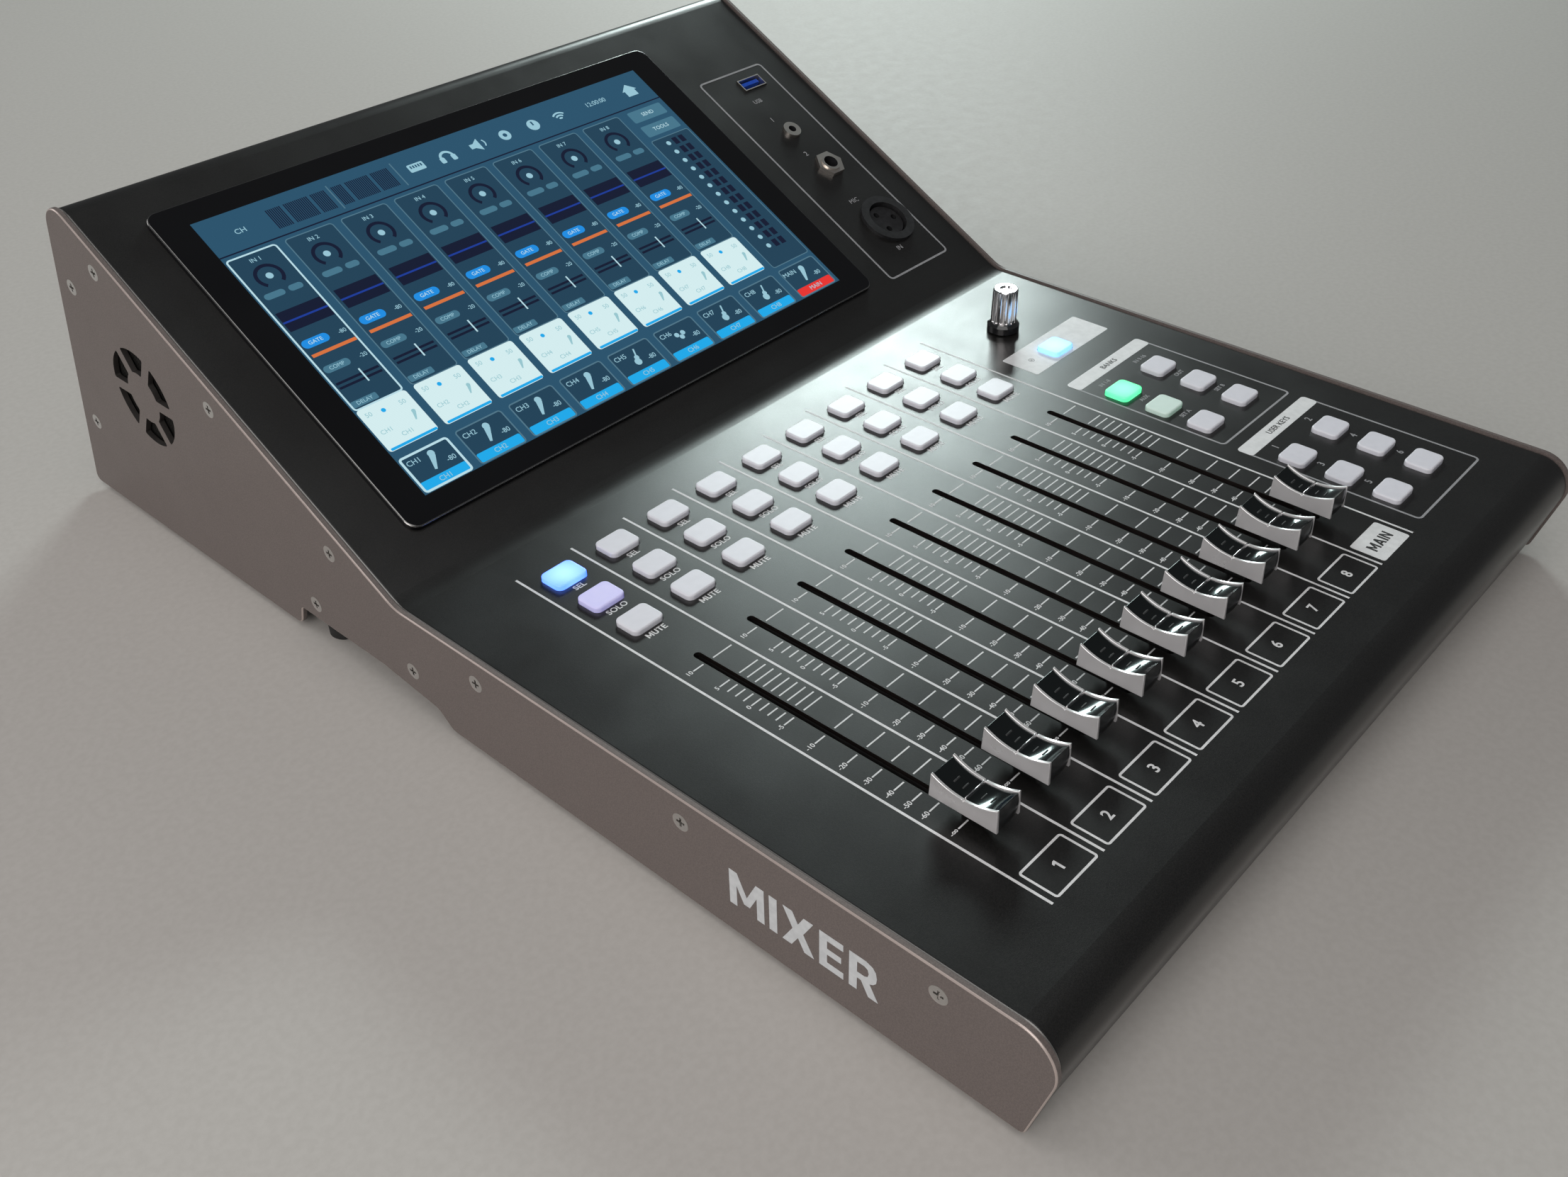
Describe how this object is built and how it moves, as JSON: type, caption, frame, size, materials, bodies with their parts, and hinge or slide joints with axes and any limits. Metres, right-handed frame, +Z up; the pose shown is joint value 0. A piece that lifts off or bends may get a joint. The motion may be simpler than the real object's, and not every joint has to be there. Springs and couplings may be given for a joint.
{
  "type": "digital audio mixing console",
  "caption": "Compact desktop mixing console: sheet-metal wedge case with a sloping touch screen, motor faders, lit keys, an encoder and panel sockets.",
  "frame": {"origin": "on the table plane under the case, midway across the width and midway from front nose to rear corner", "axes": "+X to the user's right, +Y away from the user towards the sockets, +Z up"},
  "size_m": [0.335, 0.4677, 0.1315],
  "materials": {
    "black_powder": "fine textured black powder coat",
    "taupe_powder": "fine textured warm grey powder coat",
    "screw_steel": "plain stainless",
    "foot_rubber": "matte",
    "screen_glass": "black backed cover glass over a lit display",
    "key_clear": "translucent frosted, back lit",
    "cap_silver": "satin silver with a dark mirror inlay",
    "track_black": "matte",
    "knob_chrome": "polished, fluted, black gloss skirt",
    "board_green": "solder mask",
    "socket_black": "moulded, metal nuts and contacts"
  },
  "bodies": {
    "console": {"base_tray": "black_powder", "case_screws": "screw_steel", "circuit_boards": "board_green", "fader_tracks": "track_black", "panel_sockets": "socket_black", "rubber_feet": "foot_rubber", "side_panel_left": "taupe_powder", "side_panel_right": "taupe_powder", "top_panel": "black_powder", "touch_screen": "screen_glass"},
    "bank_key_1": {"bank_key_1": "key_clear"},
    "bank_key_2": {"bank_key_2": "key_clear"},
    "bank_key_3": {"bank_key_3": "key_clear"},
    "bank_key_4": {"bank_key_4": "key_clear"},
    "bank_key_5": {"bank_key_5": "key_clear"},
    "bank_key_6": {"bank_key_6": "key_clear"},
    "encoder_knob": {"encoder_knob": "knob_chrome"},
    "fader_1": {"fader_1": "cap_silver"},
    "fader_2": {"fader_2": "cap_silver"},
    "fader_3": {"fader_3": "cap_silver"},
    "fader_4": {"fader_4": "cap_silver"},
    "fader_5": {"fader_5": "cap_silver"},
    "fader_6": {"fader_6": "cap_silver"},
    "fader_7": {"fader_7": "cap_silver"},
    "fader_8": {"fader_8": "cap_silver"},
    "fader_main": {"fader_main": "cap_silver"},
    "home_key": {"home_key": "key_clear"},
    "mute_key_1": {"mute_key_1": "key_clear"},
    "mute_key_2": {"mute_key_2": "key_clear"},
    "mute_key_3": {"mute_key_3": "key_clear"},
    "mute_key_4": {"mute_key_4": "key_clear"},
    "mute_key_5": {"mute_key_5": "key_clear"},
    "mute_key_6": {"mute_key_6": "key_clear"},
    "mute_key_7": {"mute_key_7": "key_clear"},
    "mute_key_8": {"mute_key_8": "key_clear"},
    "mute_key_main": {"mute_key_main": "key_clear"},
    "sel_key_1": {"sel_key_1": "key_clear"},
    "sel_key_2": {"sel_key_2": "key_clear"},
    "sel_key_3": {"sel_key_3": "key_clear"},
    "sel_key_4": {"sel_key_4": "key_clear"},
    "sel_key_5": {"sel_key_5": "key_clear"},
    "sel_key_6": {"sel_key_6": "key_clear"},
    "sel_key_7": {"sel_key_7": "key_clear"},
    "sel_key_8": {"sel_key_8": "key_clear"},
    "sel_key_main": {"sel_key_main": "key_clear"},
    "solo_key_1": {"solo_key_1": "key_clear"},
    "solo_key_2": {"solo_key_2": "key_clear"},
    "solo_key_3": {"solo_key_3": "key_clear"},
    "solo_key_4": {"solo_key_4": "key_clear"},
    "solo_key_5": {"solo_key_5": "key_clear"},
    "solo_key_6": {"solo_key_6": "key_clear"},
    "solo_key_7": {"solo_key_7": "key_clear"},
    "solo_key_8": {"solo_key_8": "key_clear"},
    "solo_key_main": {"solo_key_main": "key_clear"},
    "user_key_1": {"user_key_1": "key_clear"},
    "user_key_2": {"user_key_2": "key_clear"},
    "user_key_3": {"user_key_3": "key_clear"},
    "user_key_4": {"user_key_4": "key_clear"},
    "user_key_5": {"user_key_5": "key_clear"},
    "user_key_6": {"user_key_6": "key_clear"}
  },
  "joints": [
    {"name": "bank_key_1_press", "type": "slide", "parent": "console", "child": "bank_key_1", "axis": [0, 0, -1], "range_m": [0, 0.0012]},
    {"name": "bank_key_2_press", "type": "slide", "parent": "console", "child": "bank_key_2", "axis": [0, 0, -1], "range_m": [0, 0.0012]},
    {"name": "bank_key_3_press", "type": "slide", "parent": "console", "child": "bank_key_3", "axis": [0, 0, -1], "range_m": [0, 0.0012]},
    {"name": "bank_key_4_press", "type": "slide", "parent": "console", "child": "bank_key_4", "axis": [0, 0, -1], "range_m": [0, 0.0012]},
    {"name": "bank_key_5_press", "type": "slide", "parent": "console", "child": "bank_key_5", "axis": [0, 0, -1], "range_m": [0, 0.0012]},
    {"name": "bank_key_6_press", "type": "slide", "parent": "console", "child": "bank_key_6", "axis": [0, 0, -1], "range_m": [0, 0.0012]},
    {"name": "encoder_turn", "type": "hinge", "parent": "console", "child": "encoder_knob", "pos_m": [0.1184, -0.0154, 0.05], "axis": [0, 0, 1], "continuous": true},
    {"name": "fader_1_slide", "type": "slide", "parent": "console", "child": "fader_1", "axis": [0, 1, 0], "range_m": [0, 0.1]},
    {"name": "fader_2_slide", "type": "slide", "parent": "console", "child": "fader_2", "axis": [0, 1, 0], "range_m": [0, 0.1]},
    {"name": "fader_3_slide", "type": "slide", "parent": "console", "child": "fader_3", "axis": [0, 1, 0], "range_m": [0, 0.1]},
    {"name": "fader_4_slide", "type": "slide", "parent": "console", "child": "fader_4", "axis": [0, 1, 0], "range_m": [0, 0.1]},
    {"name": "fader_5_slide", "type": "slide", "parent": "console", "child": "fader_5", "axis": [0, 1, 0], "range_m": [0, 0.1]},
    {"name": "fader_6_slide", "type": "slide", "parent": "console", "child": "fader_6", "axis": [0, 1, 0], "range_m": [0, 0.1]},
    {"name": "fader_7_slide", "type": "slide", "parent": "console", "child": "fader_7", "axis": [0, 1, 0], "range_m": [0, 0.1]},
    {"name": "fader_8_slide", "type": "slide", "parent": "console", "child": "fader_8", "axis": [0, 1, 0], "range_m": [0, 0.1]},
    {"name": "fader_main_slide", "type": "slide", "parent": "console", "child": "fader_main", "axis": [0, 1, 0], "range_m": [0, 0.1]},
    {"name": "home_key_press", "type": "slide", "parent": "console", "child": "home_key", "axis": [0, 0, -1], "range_m": [0, 0.0012]},
    {"name": "mute_key_1_press", "type": "slide", "parent": "console", "child": "mute_key_1", "axis": [0, 0, -1], "range_m": [0, 0.0012]},
    {"name": "mute_key_2_press", "type": "slide", "parent": "console", "child": "mute_key_2", "axis": [0, 0, -1], "range_m": [0, 0.0012]},
    {"name": "mute_key_3_press", "type": "slide", "parent": "console", "child": "mute_key_3", "axis": [0, 0, -1], "range_m": [0, 0.0012]},
    {"name": "mute_key_4_press", "type": "slide", "parent": "console", "child": "mute_key_4", "axis": [0, 0, -1], "range_m": [0, 0.0012]},
    {"name": "mute_key_5_press", "type": "slide", "parent": "console", "child": "mute_key_5", "axis": [0, 0, -1], "range_m": [0, 0.0012]},
    {"name": "mute_key_6_press", "type": "slide", "parent": "console", "child": "mute_key_6", "axis": [0, 0, -1], "range_m": [0, 0.0012]},
    {"name": "mute_key_7_press", "type": "slide", "parent": "console", "child": "mute_key_7", "axis": [0, 0, -1], "range_m": [0, 0.0012]},
    {"name": "mute_key_8_press", "type": "slide", "parent": "console", "child": "mute_key_8", "axis": [0, 0, -1], "range_m": [0, 0.0012]},
    {"name": "mute_key_main_press", "type": "slide", "parent": "console", "child": "mute_key_main", "axis": [0, 0, -1], "range_m": [0, 0.0012]},
    {"name": "sel_key_1_press", "type": "slide", "parent": "console", "child": "sel_key_1", "axis": [0, 0, -1], "range_m": [0, 0.0012]},
    {"name": "sel_key_2_press", "type": "slide", "parent": "console", "child": "sel_key_2", "axis": [0, 0, -1], "range_m": [0, 0.0012]},
    {"name": "sel_key_3_press", "type": "slide", "parent": "console", "child": "sel_key_3", "axis": [0, 0, -1], "range_m": [0, 0.0012]},
    {"name": "sel_key_4_press", "type": "slide", "parent": "console", "child": "sel_key_4", "axis": [0, 0, -1], "range_m": [0, 0.0012]},
    {"name": "sel_key_5_press", "type": "slide", "parent": "console", "child": "sel_key_5", "axis": [0, 0, -1], "range_m": [0, 0.0012]},
    {"name": "sel_key_6_press", "type": "slide", "parent": "console", "child": "sel_key_6", "axis": [0, 0, -1], "range_m": [0, 0.0012]},
    {"name": "sel_key_7_press", "type": "slide", "parent": "console", "child": "sel_key_7", "axis": [0, 0, -1], "range_m": [0, 0.0012]},
    {"name": "sel_key_8_press", "type": "slide", "parent": "console", "child": "sel_key_8", "axis": [0, 0, -1], "range_m": [0, 0.0012]},
    {"name": "sel_key_main_press", "type": "slide", "parent": "console", "child": "sel_key_main", "axis": [0, 0, -1], "range_m": [0, 0.0012]},
    {"name": "solo_key_1_press", "type": "slide", "parent": "console", "child": "solo_key_1", "axis": [0, 0, -1], "range_m": [0, 0.0012]},
    {"name": "solo_key_2_press", "type": "slide", "parent": "console", "child": "solo_key_2", "axis": [0, 0, -1], "range_m": [0, 0.0012]},
    {"name": "solo_key_3_press", "type": "slide", "parent": "console", "child": "solo_key_3", "axis": [0, 0, -1], "range_m": [0, 0.0012]},
    {"name": "solo_key_4_press", "type": "slide", "parent": "console", "child": "solo_key_4", "axis": [0, 0, -1], "range_m": [0, 0.0012]},
    {"name": "solo_key_5_press", "type": "slide", "parent": "console", "child": "solo_key_5", "axis": [0, 0, -1], "range_m": [0, 0.0012]},
    {"name": "solo_key_6_press", "type": "slide", "parent": "console", "child": "solo_key_6", "axis": [0, 0, -1], "range_m": [0, 0.0012]},
    {"name": "solo_key_7_press", "type": "slide", "parent": "console", "child": "solo_key_7", "axis": [0, 0, -1], "range_m": [0, 0.0012]},
    {"name": "solo_key_8_press", "type": "slide", "parent": "console", "child": "solo_key_8", "axis": [0, 0, -1], "range_m": [0, 0.0012]},
    {"name": "solo_key_main_press", "type": "slide", "parent": "console", "child": "solo_key_main", "axis": [0, 0, -1], "range_m": [0, 0.0012]},
    {"name": "user_key_1_press", "type": "slide", "parent": "console", "child": "user_key_1", "axis": [0, 0, -1], "range_m": [0, 0.0012]},
    {"name": "user_key_2_press", "type": "slide", "parent": "console", "child": "user_key_2", "axis": [0, 0, -1], "range_m": [0, 0.0012]},
    {"name": "user_key_3_press", "type": "slide", "parent": "console", "child": "user_key_3", "axis": [0, 0, -1], "range_m": [0, 0.0012]},
    {"name": "user_key_4_press", "type": "slide", "parent": "console", "child": "user_key_4", "axis": [0, 0, -1], "range_m": [0, 0.0012]},
    {"name": "user_key_5_press", "type": "slide", "parent": "console", "child": "user_key_5", "axis": [0, 0, -1], "range_m": [0, 0.0012]},
    {"name": "user_key_6_press", "type": "slide", "parent": "console", "child": "user_key_6", "axis": [0, 0, -1], "range_m": [0, 0.0012]}
  ]
}
